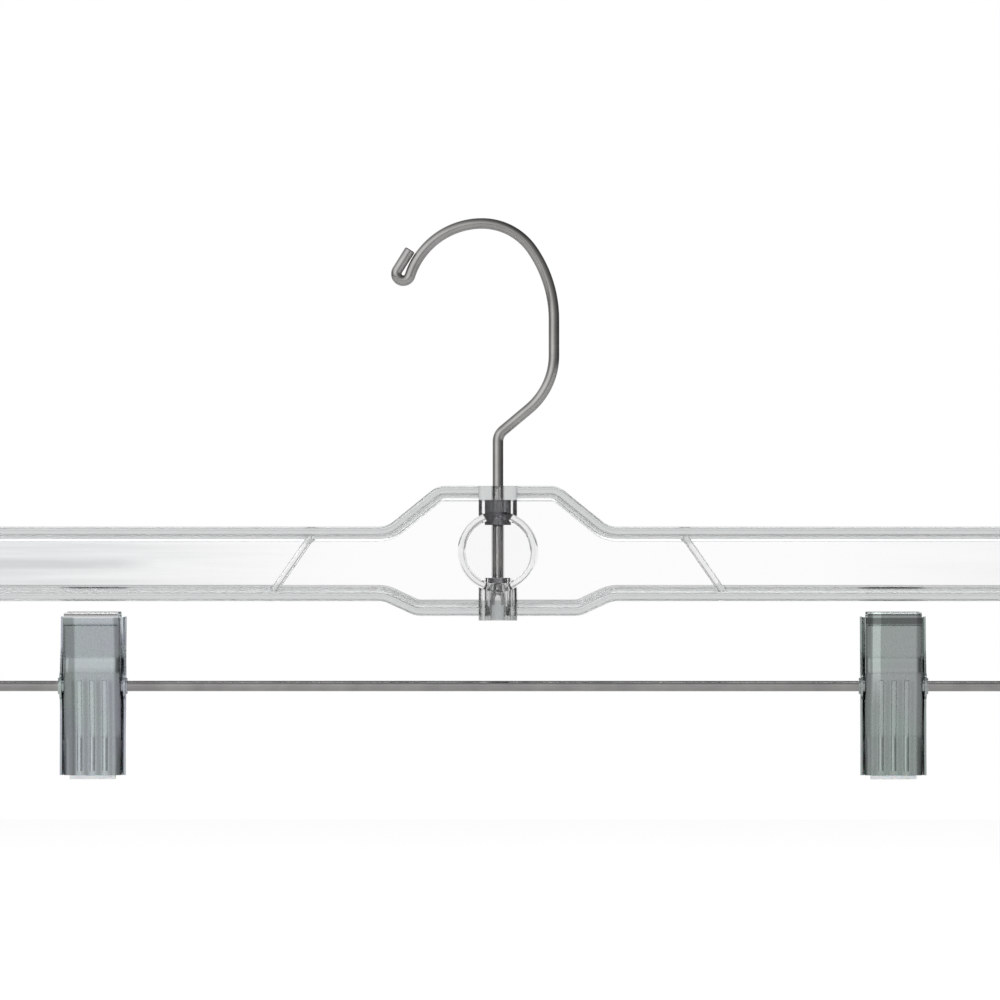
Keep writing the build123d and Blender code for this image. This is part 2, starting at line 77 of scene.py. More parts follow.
def add_node(owner, kind, inputs=None, **settings):
    """Adds a node with its settings. An input is given a number, a colour or another node's output."""
    node = owner.node_tree.nodes.new(kind)
    for name, value in settings.items():
        setattr(node, name, value)
    for name, value in (inputs or {}).items():
        if isinstance(value, bpy.types.NodeSocket):
            owner.node_tree.links.new(value, node.inputs[name])
        else:
            node.inputs[name].default_value = value
    return node


def new_material(name):
    """A material with nothing in it but its output node, and that node."""
    material = bpy.data.materials.new(name)
    material.use_nodes = True
    material.node_tree.nodes.clear()
    return material, add_node(material, "ShaderNodeOutputMaterial")


def dress(piece, material):
    """Gives a piece one material all over."""
    piece.data.materials.clear()
    piece.data.materials.append(material)


def worked_steel(name, colours, roughness, mark_width, stretch, mark_strength, cloud_size=9.0):
    """Steel with a finish, whose two colours drift in clouds and whose gloss varies along its marks.

    Widths and sizes are in millimetres. stretch says how much longer the marks are on each axis.
    """
    material, output = new_material(name)
    place = add_node(material, "ShaderNodeTexCoord").outputs["Object"]
    drawn_out = add_node(
        material, "ShaderNodeMapping", {"Vector": place, "Scale": [1 / s for s in stretch]}
    ).outputs["Vector"]
    marks = add_node(
        material, "ShaderNodeTexNoise",
        {"Vector": drawn_out, "Scale": 1 / (mark_width * MM), "Detail": 3.0, "Roughness": 0.6},
    ).outputs["Fac"]
    clouds = add_node(
        material, "ShaderNodeTexNoise",
        {"Vector": place, "Scale": 1 / (cloud_size * MM), "Detail": 2.0},
    ).outputs["Fac"]
    drift = add_node(
        material, "ShaderNodeMapRange", {"Value": clouds, "From Min": 0.35, "From Max": 0.65}
    ).outputs["Result"]
    tint = add_node(
        material, "ShaderNodeMix",
        {"Factor": drift, "A": linear(colours[0]), "B": linear(colours[1])}, data_type="RGBA",
    )
    gloss = add_node(
        material, "ShaderNodeMapRange",
        {"Value": marks, "From Min": 0.3, "From Max": 0.7,
         "To Min": roughness * 0.75, "To Max": roughness * 1.25},
    ).outputs["Result"]
    bump = add_node(
        material, "ShaderNodeBump",
        {"Height": marks, "Strength": mark_strength, "Distance": 0.02 * MM},
    ).outputs["Normal"]
    shader = add_node(
        material, "ShaderNodeBsdfPrincipled",
        {"Roughness": gloss, "Normal": bump, "Metallic": 1.0},
    )
    material.node_tree.links.new(tint.outputs[2], shader.inputs["Base Color"])
    material.node_tree.links.new(shader.outputs["BSDF"], output.inputs["Surface"])
    return material


blackened_steel = worked_steel(
    "blackened_turned_steel", ("#77787C", "#67686C"), roughness=0.36, mark_width=0.25,
    stretch=(4, 4, 1), mark_strength=0.2,
)
dress(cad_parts["hook_bushing"], blackened_steel)

# Clear bar
# Crystal polystyrene, injection moulded in one piece. The mould polished its flat faces, so they are as
# clear as glass, and left the curved rim and ribs a little softer. These and the socket's ends are
# painted grey as painted shade, and faint grey streaks are painted as shade towards the ends, most at the
# left end, where a darker line is a painted reflection.
BAR_MIDDLE = -111.7 * MM
HUMP_MIDDLE = -107.3 * MM
PARTING_LINE_WIDTH = 0.15 * MM
# Half depths of its forms and half heights of the ribs and the hump's pockets, and past each of them
# the width over which the plastic's tone changes
WEB_HALF = 1.1 * MM
WEB_FADE = 0.15 * MM
FLANGE_HALF = 4.8 * MM
FLANGE_MARGIN = 0.2 * MM
FLANGE_FADE = 0.6 * MM
MEDALLION_HALF = 6.6 * MM
MEDALLION_FADE = 0.25 * MM
RIB_REACH = 6.4 * MM
RIB_FADE = 0.5 * MM
HUMP_POCKET_HALF = 16.2 * MM
SOCKET_FADE = 0.5 * MM
# The grey streaks, painted as shade: their usual size, where the painted shade begins left and right of
# the centre, and where the painted reflection, a long dark line, begins and is full
STREAK_HEIGHT = 2.6 * MM
STREAK_LENGTH = 70.0 * MM
SHADE_START_LEFT = -30 * MM
SHADE_START_RIGHT = 110 * MM
REFLECTION_STREAK_START = -108 * MM
REFLECTION_STREAK_FULL = -122 * MM
# The bore that holds the bushing and the stem, a little wider than the bushing, and its two ends
BUSHING_HOLD = 4.46 * MM
BORE_LOW = -116.2 * MM
BORE_HIGH = -85.8 * MM
FACE_TOLERANCE = 0.01 * MM
bar_low, bar_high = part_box("body")
washer_low, washer_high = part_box("hook_washer")
stem_x = (washer_low.x + washer_high.x) / 2
clear_plastic, output = new_material("clear_moulded_polystyrene")
place = add_node(clear_plastic, "ShaderNodeTexCoord").outputs["Object"]
along = add_node(clear_plastic, "ShaderNodeSeparateXYZ", {"Vector": place})
streaks = add_node(
    clear_plastic, "ShaderNodeTexNoise",
    {"Vector": add_node(
        clear_plastic, "ShaderNodeMapping",
        {"Vector": place, "Scale": (STREAK_HEIGHT / STREAK_LENGTH, 1, 1)},
    ).outputs["Vector"], "Scale": 1 / STREAK_HEIGHT, "Detail": 2.0, "Roughness": 0.5},
).outputs["Fac"]
streaked = add_node(
    clear_plastic, "ShaderNodeMapRange",
    {"Value": streaks, "From Min": 0.4, "From Max": 0.68, "To Min": 0.45, "To Max": 1.0},
).outputs["Result"]
# Painted shade that greys the streaks: nothing near the centre, most at the left end, little at the right
left_end_shade = add_node(
    clear_plastic, "ShaderNodeMapRange",
    {"Value": along.outputs["X"], "From Min": SHADE_START_LEFT, "From Max": bar_low.x},
    interpolation_type="SMOOTHSTEP",
).outputs["Result"]
right_end_shade = add_node(
    clear_plastic, "ShaderNodeMapRange",
    {"Value": along.outputs["X"], "From Min": SHADE_START_RIGHT, "From Max": bar_high.x,
     "To Min": 0.0, "To Max": 0.3},
).outputs["Result"]
end_shade = add_node(
    clear_plastic, "ShaderNodeMath", {0: left_end_shade, 1: right_end_shade}, operation="ADD"
).outputs[0]
streaked_end_shade = add_node(
    clear_plastic, "ShaderNodeMath", {0: end_shade, 1: streaked}, operation="MULTIPLY"
).outputs[0]
# A painted reflection: a soft dark line half way up the web at the left end
above_middle = add_node(
    clear_plastic, "ShaderNodeMath", {0: along.outputs["Z"], 1: BAR_MIDDLE},
    operation="SUBTRACT",
).outputs[0]
off_middle = add_node(
    clear_plastic, "ShaderNodeMath", {0: above_middle}, operation="ABSOLUTE"
).outputs[0]
reflection_band = add_node(
    clear_plastic, "ShaderNodeMapRange",
    {"Value": off_middle, "From Min": 0.0, "From Max": STREAK_HEIGHT,
     "To Min": 0.55, "To Max": 0.0},
    interpolation_type="SMOOTHSTEP",
).outputs["Result"]
reflection_reach = add_node(
    clear_plastic, "ShaderNodeMapRange",
    {"Value": along.outputs["X"], "From Min": REFLECTION_STREAK_START, "From Max": REFLECTION_STREAK_FULL},
).outputs["Result"]
painted_shade_and_reflection = add_node(
    clear_plastic, "ShaderNodeMath", {0: reflection_band, 1: reflection_reach, 2: streaked_end_shade},
    operation="MULTIPLY_ADD",
).outputs[0]
# The plastic's tint, greyed by the painted shade and the painted reflection
painted_shade_tint = add_node(
    clear_plastic, "ShaderNodeMix",
    {"Factor": painted_shade_and_reflection, "A": linear("#FFFFFF"), "B": linear("#D4D6D7")}, data_type="RGBA",
).outputs[2]
# How much painted grey shade and softness the plastic has at a depth: all between the web and the
# flange's edge, a little on the medallion's raised rim, and less on the ribs, half way up the bar
from_middle = add_node(
    clear_plastic, "ShaderNodeMath", {0: along.outputs["Y"]}, operation="ABSOLUTE"
).outputs[0]
past_web = add_node(
    clear_plastic, "ShaderNodeMapRange",
    {"Value": from_middle, "From Min": WEB_HALF + FACE_TOLERANCE, "From Max": WEB_HALF + WEB_FADE},
).outputs["Result"]
within_flange = add_node(
    clear_plastic, "ShaderNodeMapRange",
    {"Value": from_middle, "From Min": FLANGE_HALF + FLANGE_MARGIN,
     "From Max": FLANGE_HALF + FLANGE_FADE, "To Min": 1.0, "To Max": 0.0},
).outputs["Result"]
on_medallion_rim = add_node(
    clear_plastic, "ShaderNodeMapRange",
    {"Value": from_middle, "From Min": MEDALLION_HALF, "From Max": MEDALLION_HALF + MEDALLION_FADE,
     "To Min": 0.0, "To Max": 0.4},
).outputs["Result"]
past_ribs = add_node(
    clear_plastic, "ShaderNodeMapRange",
    {"Value": off_middle, "From Min": RIB_REACH, "From Max": RIB_REACH + RIB_FADE,
     "To Min": 0.4, "To Max": 1.0},
).outputs["Result"]
in_flange = add_node(
    clear_plastic, "ShaderNodeMath", {0: past_web, 1: within_flange}, operation="MULTIPLY"
).outputs[0]
painted_shade_and_softness = add_node(
    clear_plastic, "ShaderNodeMath", {0: in_flange, 1: past_ribs, 2: on_medallion_rim},
    operation="MULTIPLY_ADD",
).outputs[0]
# The socket's ends, where it runs into the flanges of the hump, get the same painted grey shade all
# through
off_hump_middle = add_node(
    clear_plastic, "ShaderNodeMath", {0: along.outputs["Z"], 1: HUMP_MIDDLE}, operation="SUBTRACT"
).outputs[0]
from_hump_middle = add_node(
    clear_plastic, "ShaderNodeMath", {0: off_hump_middle}, operation="ABSOLUTE"
).outputs[0]
socket_end_shade = add_node(
    clear_plastic, "ShaderNodeMapRange",
    {"Value": from_hump_middle, "From Min": HUMP_POCKET_HALF,
     "From Max": HUMP_POCKET_HALF + SOCKET_FADE},
).outputs["Result"]
painted_shade_and_softness = add_node(
    clear_plastic, "ShaderNodeMath", {0: painted_shade_and_softness, 1: socket_end_shade}, operation="MAXIMUM"
).outputs[0]
# The painted grey shade on those parts
tint = add_node(
    clear_plastic, "ShaderNodeMix",
    {"Factor": painted_shade_and_softness, "A": painted_shade_tint, "B": linear("#D6D8D8")}, data_type="RGBA",
)
softness = add_node(
    clear_plastic, "ShaderNodeMapRange", {"Value": painted_shade_and_softness, "To Min": 0.02, "To Max": 0.18}
).outputs["Result"]
# The fine line that the two halves of the mould leave round the rim
parting_line = add_node(
    clear_plastic, "ShaderNodeMapRange",
    {"Value": from_middle, "From Min": 0.0, "From Max": PARTING_LINE_WIDTH,
     "To Min": 1.0, "To Max": 0.0},
    interpolation_type="SMOOTHSTEP",
).outputs["Result"]
seam = add_node(
    clear_plastic, "ShaderNodeBump", {"Height": parting_line, "Strength": 1.0, "Distance": 0.06 * MM}
).outputs["Normal"]
flow_marks = add_node(
    clear_plastic, "ShaderNodeBump",
    {"Height": streaks, "Strength": 0.05, "Distance": 0.1 * MM, "Normal": seam},
).outputs["Normal"]
shader = add_node(
    clear_plastic, "ShaderNodeBsdfPrincipled",
    {"Roughness": softness, "IOR": 1.59, "Transmission Weight": 1.0, "Normal": flow_marks},
)
absorbed = add_node(
    clear_plastic, "ShaderNodeVolumeAbsorption", {"Color": (0.0, 0.06, 0.05, 1), "Density": 4.0}
)
clear_plastic.node_tree.links.new(tint.outputs[2], shader.inputs["Base Color"])
# The plastic has shrunk on to the stem and the bushing, so no film of air bends the light round them
from_stem = add_node(
    clear_plastic, "ShaderNodeVectorMath", {0: place, 1: (-stem_x, 0, 0)}, operation="ADD"
).outputs["Vector"]
outwards = add_node(
    clear_plastic, "ShaderNodeVectorMath", {0: from_stem, 1: (1, 1, 0)}, operation="MULTIPLY"
).outputs["Vector"]
off_stem = add_node(
    clear_plastic, "ShaderNodeVectorMath", {0: outwards}, operation="LENGTH"
).outputs["Value"]
near_stem = add_node(
    clear_plastic, "ShaderNodeMath", {0: off_stem, 1: BUSHING_HOLD}, operation="LESS_THAN"
).outputs[0]
in_bore = add_node(
    clear_plastic, "ShaderNodeMath",
    {0: along.outputs["Z"], 1: (BORE_LOW + BORE_HIGH) / 2, 2: (BORE_HIGH - BORE_LOW) / 2},
    operation="COMPARE",
).outputs[0]
held_steel = add_node(
    clear_plastic, "ShaderNodeMath", {0: near_stem, 1: in_bore}, operation="MULTIPLY"
).outputs[0]
see_through = add_node(clear_plastic, "ShaderNodeBsdfTransparent", {"Color": linear("#E4E4E4")})
surface = add_node(
    clear_plastic, "ShaderNodeMixShader",
    {0: held_steel, 1: shader.outputs["BSDF"], 2: see_through.outputs["BSDF"]},
).outputs["Shader"]
clear_plastic.node_tree.links.new(surface, output.inputs["Surface"])
clear_plastic.node_tree.links.new(absorbed.outputs["Volume"], output.inputs["Volume"])
dress(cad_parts["body"], clear_plastic)

# Hook
# One length of drawn steel wire, bent cold round formers and nickel plated. Its tip is folded back so
# that it doesn't catch on cloth. Its lower end is flared under the washer and split, so that its two
# halves spread and it can't pull out of the bar.
WIRE_SIDES = 48
DEGREES_PER_STEP = 3
# Its bends from the crown down the back to the stem: radii on the wire's centre line, turns in degrees
CROWN_RADIUS = 20.3 * MM
CROWN_TURN = 55
BACK_RADIUS = 40.6 * MM
BACK_STRAIGHT = 12.0 * MM
HEEL_RADIUS = 23.3 * MM
HEEL_TURN = 50
NECK_RADIUS = 4.7 * MM
# Its bends from the crown the other way, to the folded tip
FRONT_RADIUS = 25.3 * MM
FRONT_TURN = 72
TIP_RADIUS = 2.3 * MM
TIP_TURN = 194
TIP_LENGTH = 8.0 * MM
TIP_CHAMFER = 0.3 * MM
# Its flared and split lower end
HEAD_LENGTH = 7.2 * MM
HEAD_RIM_LENGTH = 0.9 * MM
HEAD_RADIUS = 4.2 * MM
SPLIT_WIDTH = 4.0 * MM
SPLIT_HEIGHT = 3.4 * MM
CUT_OVERRUN = 1 * MM
MERGE_DISTANCE = 0.0005 * MM
hook_low, hook_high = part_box("hook")
wire_radius = hook_high.z / 2
head_top = hook_low.z + HEAD_LENGTH
crown_sine = math.sin(math.radians(CROWN_TURN))
reach_out = CROWN_RADIUS * crown_sine + BACK_RADIUS * (1 - crown_sine)
reach_back = (HEEL_RADIUS + NECK_RADIUS) * (1 - math.cos(math.radians(HEEL_TURN)))
diagonal = (reach_out - reach_back - stem_x) / math.sin(math.radians(HEEL_TURN))
# Each bend is its radius on the wire's centre line, its turn in degrees and the straight run after it
bends_to_stem = [
    (CROWN_RADIUS, -CROWN_TURN, 0),
    (BACK_RADIUS, CROWN_TURN - 90, BACK_STRAIGHT),
    (HEEL_RADIUS, -HEEL_TURN, diagonal),
    (NECK_RADIUS, HEEL_TURN, 0),
]
bends_to_tip = [(FRONT_RADIUS, FRONT_TURN, 0), (TIP_RADIUS, -TIP_TURN, TIP_LENGTH - TIP_CHAMFER)]


def start_ring(mesh, centre, normal, radius, sides):
    """A round of edges to draw a wire or a tube from, square to the way it will run."""
    turn = Vector((0, 0, 1)).rotation_difference(Vector(normal)).to_matrix().to_4x4()
    ring = bmesh.ops.create_circle(
        mesh, segments=sides, radius=radius, matrix=Matrix.Translation(centre) @ turn
    )
    return list({edge for vert in ring["verts"] for edge in vert.link_edges})


def draw_on(mesh, ring, shift, scale=1):
    """Draws the open end of a tube on by a shift, wider or narrower by a scale. Returns its new end."""
    drawn = bmesh.ops.extrude_edge_only(mesh, edges=ring)["geom"]
    verts = [part for part in drawn if isinstance(part, bmesh.types.BMVert)]
    centre = sum((vert.co for vert in verts), Vector()) / len(verts)
    bmesh.ops.scale(mesh, vec=(scale, scale, scale), space=Matrix.Translation(-centre), verts=verts)
    bmesh.ops.translate(mesh, vec=shift, verts=verts)
    edges = [part for part in drawn if isinstance(part, bmesh.types.BMEdge)]
    return [edge for edge in edges if edge.verts[0] in verts and edge.verts[1] in verts]


def bend_on(mesh, ring, centre, axis, angle, steps, shift=(0, 0, 0)):
    """Draws the open end of a tube round a bend, with a shift at each step. Returns its new end."""
    turned = bmesh.ops.spin(
        mesh, geom=ring, cent=centre, axis=axis, angle=angle, steps=steps, dvec=shift
    )
    return [part for part in turned["geom_last"] if isinstance(part, bmesh.types.BMEdge)]


def draw_wire(mesh, ring, place, heading, bends):
    """Bends a wire in the hook's plane. Returns its new end, where that is and its heading."""
    for radius, turn, straight in bends:
        side = math.copysign(1, turn)
        centre = place + side * radius * Vector((-math.sin(heading), 0, math.cos(heading)))
        angle = math.radians(turn)
        steps = math.ceil(abs(turn) / DEGREES_PER_STEP)
        ring = bend_on(mesh, ring, centre, (0, -1, 0), angle, steps)
        place = centre + Matrix.Rotation(angle, 3, (0, -1, 0)) @ (place - centre)
        heading += angle
        if straight:
            shift = straight * Vector((math.cos(heading), 0, math.sin(heading)))
            ring = draw_on(mesh, ring, shift)
            place = place + shift
    return ring, place, heading


def new_piece(mesh, name):
    """Turns a bmesh into an object, with its doubles merged and its faces pointing outwards."""
    bmesh.ops.remove_doubles(mesh, verts=mesh.verts, dist=MERGE_DISTANCE)
    bmesh.ops.recalc_face_normals(mesh, faces=mesh.faces)
    data = bpy.data.meshes.new(name)
    mesh.to_mesh(data)
    mesh.free()
    piece = bpy.data.objects.new(name, data)
    bpy.context.scene.collection.objects.link(piece)
    return piece


def smooth(piece, sharp_from=40):
    """Shades a piece smooth but for the edges that turn by more than an angle in degrees."""
    piece.data.shade_smooth()
    piece.data.set_sharp_from_angle(angle=math.radians(sharp_from))


def cut(piece, cutter):
    """Cuts the shape of one object out of another, and throws the cutter away."""
    tool = piece.modifiers.new("cut", "BOOLEAN")
    tool.operation = "DIFFERENCE"
    tool.solver = "EXACT"
    tool.object = cutter
    shown = piece.evaluated_get(bpy.context.evaluated_depsgraph_get())
    whole = piece.data
    piece.data = bpy.data.meshes.new_from_object(shown)
    piece.data.name = whole.name
    piece.modifiers.clear()
    bpy.data.meshes.remove(whole)
    bpy.data.objects.remove(cutter)


wire = bmesh.new()
crown = Vector((0, 0, wire_radius))
crown_ring = start_ring(wire, crown, (1, 0, 0), wire_radius, WIRE_SIDES)
ring, place, _ = draw_wire(wire, crown_ring, crown, 0, bends_to_stem)
ring = draw_on(wire, ring, Vector((0, 0, head_top - place.z)))
flare = Vector((0, 0, HEAD_RIM_LENGTH - HEAD_LENGTH))
ring = draw_on(wire, ring, flare, HEAD_RADIUS / wire_radius)
ring = draw_on(wire, ring, Vector((0, 0, -HEAD_RIM_LENGTH)))
bmesh.ops.contextual_create(wire, geom=ring)
ring, _, heading = draw_wire(wire, crown_ring, crown, math.pi, bends_to_tip)
tip_shift = TIP_CHAMFER * Vector((math.cos(heading), 0, math.sin(heading)))
ring = draw_on(wire, ring, tip_shift, 1 - TIP_CHAMFER / wire_radius)
bmesh.ops.contextual_create(wire, geom=ring)
hook = new_piece(wire, "hook_wire")
# The split: a slot through the flared end from front to back, round at its top
split = bmesh.new()
split_reach = HEAD_RADIUS + CUT_OVERRUN
split_middle = Vector((stem_x, -split_reach, hook_low.z + SPLIT_HEIGHT - SPLIT_WIDTH / 2))
arch = start_ring(split, split_middle, (0, 1, 0), SPLIT_WIDTH / 2, WIRE_SIDES)
low_half = [vert for vert in split.verts if vert.co.z < split_middle.z]
bmesh.ops.translate(split, vec=(0, 0, -SPLIT_HEIGHT), verts=low_half)
bmesh.ops.contextual_create(split, geom=arch)
drawn = bmesh.ops.extrude_face_region(split, geom=split.faces[:])["geom"]
moved = [part for part in drawn if isinstance(part, bmesh.types.BMVert)]
bmesh.ops.translate(split, vec=(0, 2 * split_reach, 0), verts=moved)
cut(hook, new_piece(split, "split"))
smooth(hook)
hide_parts("hook")
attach(hook, "hook")


def shade(material, strength):
    """Makes a material's colour darker or lighter by a strength that varies over the surface."""
    colour = material.node_tree.nodes["Principled BSDF"].inputs["Base Color"]
    scaled = add_node(
        material, "ShaderNodeVectorMath", {0: colour.links[0].from_socket, 1: strength},
        operation="MULTIPLY",
    )
    material.node_tree.links.new(scaled.outputs["Vector"], colour)


# Bright nickel over drawn wire is a neutral, glossy grey, with die marks that run along the wire. Inside
# the bar it is painted darker, as painted shade for the plastic round it.
INSIDE_SHADE_TONE = 0.58
INSIDE_SHADE_FADE = 1 * MM
nickel_wire = worked_steel(
    "nickel_plated_drawn_wire", ("#B2B1AF", "#A4A3A2"), roughness=0.16, mark_width=0.4,
    stretch=(1, 1, 6), mark_strength=0.12,
)
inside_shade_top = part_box("hook_bushing")[1].z
place = add_node(nickel_wire, "ShaderNodeTexCoord").outputs["Object"]
height = add_node(nickel_wire, "ShaderNodeSeparateXYZ", {"Vector": place}).outputs["Z"]
shade(nickel_wire, add_node(
    nickel_wire, "ShaderNodeMapRange",
    {"Value": height, "From Min": inside_shade_top - INSIDE_SHADE_FADE, "From Max": inside_shade_top,
     "To Min": INSIDE_SHADE_TONE, "To Max": 1.0},
).outputs["Result"])
dress(hook, nickel_wire)

# Washer
# Turned from the same blackened steel. It lies between the roof of the recess and the flared end of the
# stem, and turns with the hook.
dress(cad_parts["hook_washer"], blackened_steel)

# Rod
# Drawn steel rod, nickel plated. The clips slide along it, and its two ends are sprung into the blind
# bores of the bar's arms.
nickel_rod = worked_steel(
    "nickel_plated_drawn_rod", ("#AFAEAC", "#A09F9E"), roughness=0.18, mark_width=0.3,
    stretch=(40, 1, 1), mark_strength=0.15,
)
dress(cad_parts["rod"], nickel_rod)

# Hinge tubes and clip jaws
# Sheet steel, blanked, ribbed and folded in a press, then barrel plated with bright zinc. The plating is
# a little cloudy. Its colour drifts between a greenish and a lavender grey on the left clip, and the
# right clip is given darker, greener tones. The front jaws carry painted highlights, painted shade and a
# painted reflection. The tube's rims are rolled over the ears of both jaws.
ZINC_FINISH = {
    "roughness": 0.26, "mark_width": 0.6, "stretch": (1, 1, 8), "mark_strength": 0.03,
    "cloud_size": 18.0,
}
# Across a front jaw: its three ribs, and how far their painted highlights and the painted shade on the
# side bends fade
JAW_RIB_PITCH = 4.2 * MM
JAW_RIBS_HALF = 1.5 * JAW_RIB_PITCH
JAW_RIBS_FADE = 0.3 * JAW_RIB_PITCH
BEND_SHADE_FADE = 0.8 * MM
BEND_SHADE_TONE = 0.6
# Heights below the tab's upper edge: the bead that ends it, and the painted highlight on the bead's upper
# edge
BEAD_HEIGHT = 4.2 * MM
BEAD_FADE = 0.5 * MM
TAB_EDGE_HEIGHT = 1.5 * MM
TAB_EDGE_FADE = 0.3 * MM
TAB_EDGE_HIGHLIGHT = 3.2
# Heights over the rod: where the ribs' painted highlights end and are full, and the band above the
# knuckle, which is painted lighter
JAW_RIBS_TOP = 3 * MM
JAW_RIBS_BRIGHT = 1 * MM
BAND_LOW = 6.0 * MM
BAND_HIGH = 9.7 * MM
BAND_FADE = 0.4 * MM
# The painted reflection down the right clip, a long bright streak: its place across, and how far over and
# under the rod it fades
REFLECTION_OFF_MIDDLE = -5.8 * MM
REFLECTION_HALF_WIDTH = 1.3 * MM
REFLECTION_FADE = 6 * MM
# What differs between the clips: the zinc's two colours, how bright the painted light on the bead and the
# band is beside the rest, how much brighter the painted highlights on the ribs and the painted reflection
# are, and the width of the painted shade on the side bends, with how far this is shifted to the right
CLIP_TONES_AND_PAINTED_LIGHT = {
    "left": {
        "tones": ("#BFCAC7", "#BDC0CA"), "bead": 1.2, "band": 1.16, "ribs": 0.24, "streak_reflection": 0.0,
        "bends": 3.3 * MM, "bends_shift": 0.9 * MM,
    },
    "right": {
        "tones": ("#AEBAB5", "#B1B6B6"), "bead": 0.38, "band": 1.0, "ribs": 0.14, "streak_reflection": 0.5,
        "bends": 2.4 * MM, "bends_shift": 0.0,
    },
}
rod_low, rod_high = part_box("rod")
rod_z = (rod_low.z + rod_high.z) / 2
band_middle = rod_z + (BAND_LOW + BAND_HIGH) / 2
band_half = (BAND_HIGH - BAND_LOW) / 2
for side, tones_and_painted_light in CLIP_TONES_AND_PAINTED_LIGHT.items():
    zinc_sheet = worked_steel(f"zinc_plated_pressed_steel_{side}", tones_and_painted_light["tones"], **ZINC_FINISH)
    for piece in ("hinge_tube", "rear_jaw"):
        dress(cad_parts[f"{side}_{piece}"], zinc_sheet)
    # The front jaw gets painted highlights on its ribs and painted shade on its side bends
    painted_light_zinc = worked_steel(f"zinc_plated_steel_painted_light_{side}", tones_and_painted_light["tones"], **ZINC_FINISH)
    jaw_low, jaw_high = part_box(f"{side}_front_jaw")
    place = add_node(painted_light_zinc, "ShaderNodeTexCoord").outputs["Object"]
    along = add_node(painted_light_zinc, "ShaderNodeSeparateXYZ", {"Vector": place})
    across = add_node(
        painted_light_zinc, "ShaderNodeMath", {0: along.outputs["X"], 1: (jaw_low.x + jaw_high.x) / 2},
        operation="SUBTRACT",
    ).outputs[0]
    off_middle = add_node(
        painted_light_zinc, "ShaderNodeMath", {0: across}, operation="ABSOLUTE"
    ).outputs[0]
    in_turns = add_node(
        painted_light_zinc, "ShaderNodeMath", {0: across, 1: 2 * math.pi / JAW_RIB_PITCH}, operation="MULTIPLY"
    ).outputs[0]
    stripes = add_node(painted_light_zinc, "ShaderNodeMath", {0: in_turns}, operation="COSINE").outputs[0]
    # Painted highlights across the ribs
    rib_highlight_across = add_node(
        painted_light_zinc, "ShaderNodeMapRange",
        {"Value": off_middle, "From Min": JAW_RIBS_HALF, "From Max": JAW_RIBS_HALF + JAW_RIBS_FADE,
         "To Min": tones_and_painted_light["ribs"], "To Max": 0.0},
    ).outputs["Result"]
    on_grip = add_node(
        painted_light_zinc, "ShaderNodeMapRange",
        {"Value": along.outputs["Z"], "From Min": rod_z + JAW_RIBS_TOP,
         "From Max": rod_z + JAW_RIBS_BRIGHT},
    ).outputs["Result"]
    rib_highlight = add_node(
        painted_light_zinc, "ShaderNodeMath", {0: rib_highlight_across, 1: on_grip}, operation="MULTIPLY"
    ).outputs[0]
    shade(painted_light_zinc, add_node(
        painted_light_zinc, "ShaderNodeMath", {0: stripes, 1: rib_highlight, 2: 1.0}, operation="MULTIPLY_ADD"
    ).outputs[0])
    # Painted shade on the side bends, dimming them
    bend_shade_start = (jaw_high.x - jaw_low.x) / 2 - tones_and_painted_light["bends"]
    from_flat = add_node(
        painted_light_zinc, "ShaderNodeMath", {0: across, 1: tones_and_painted_light["bends_shift"]}, operation="SUBTRACT"
    ).outputs[0]
    off_flat = add_node(painted_light_zinc, "ShaderNodeMath", {0: from_flat}, operation="ABSOLUTE").outputs[0]
    shade(painted_light_zinc, add_node(
        painted_light_zinc, "ShaderNodeMapRange",
        {"Value": off_flat, "From Min": bend_shade_start, "From Max": bend_shade_start + BEND_SHADE_FADE,
         "To Min": 1.0, "To Max": BEND_SHADE_TONE},
    ).outputs["Result"])
    # The bead is painted lighter on the left clip and darker on the right, as painted light and shade
    shade(painted_light_zinc, add_node(
        painted_light_zinc, "ShaderNodeMapRange",
        {"Value": along.outputs["Z"], "From Min": jaw_high.z - BEAD_HEIGHT,
         "From Max": jaw_high.z - BEAD_HEIGHT + BEAD_FADE, "To Min": 1.0, "To Max": tones_and_painted_light["bead"]},
    ).outputs["Result"])
    # A painted highlight on the upper edge of the bead, and painted light on the band above the knuckle
    shade(painted_light_zinc, add_node(
        painted_light_zinc, "ShaderNodeMapRange",
        {"Value": along.outputs["Z"], "From Min": jaw_high.z - TAB_EDGE_HEIGHT - TAB_EDGE_FADE,
         "From Max": jaw_high.z - TAB_EDGE_HEIGHT, "To Min": 1.0, "To Max": TAB_EDGE_HIGHLIGHT},
    ).outputs["Result"])
    # Painted light on the band above the knuckle
    above_band = add_node(
        painted_light_zinc, "ShaderNodeMath", {0: along.outputs["Z"], 1: band_middle}, operation="SUBTRACT"
    ).outputs[0]
    off_band = add_node(painted_light_zinc, "ShaderNodeMath", {0: above_band}, operation="ABSOLUTE").outputs[0]
    shade(painted_light_zinc, add_node(
        painted_light_zinc, "ShaderNodeMapRange",
        {"Value": off_band, "From Min": band_half + BAND_FADE, "From Max": band_half - BAND_FADE,
         "To Min": 1.0, "To Max": tones_and_painted_light["band"]},
    ).outputs["Result"])
    if tones_and_painted_light["streak_reflection"]:
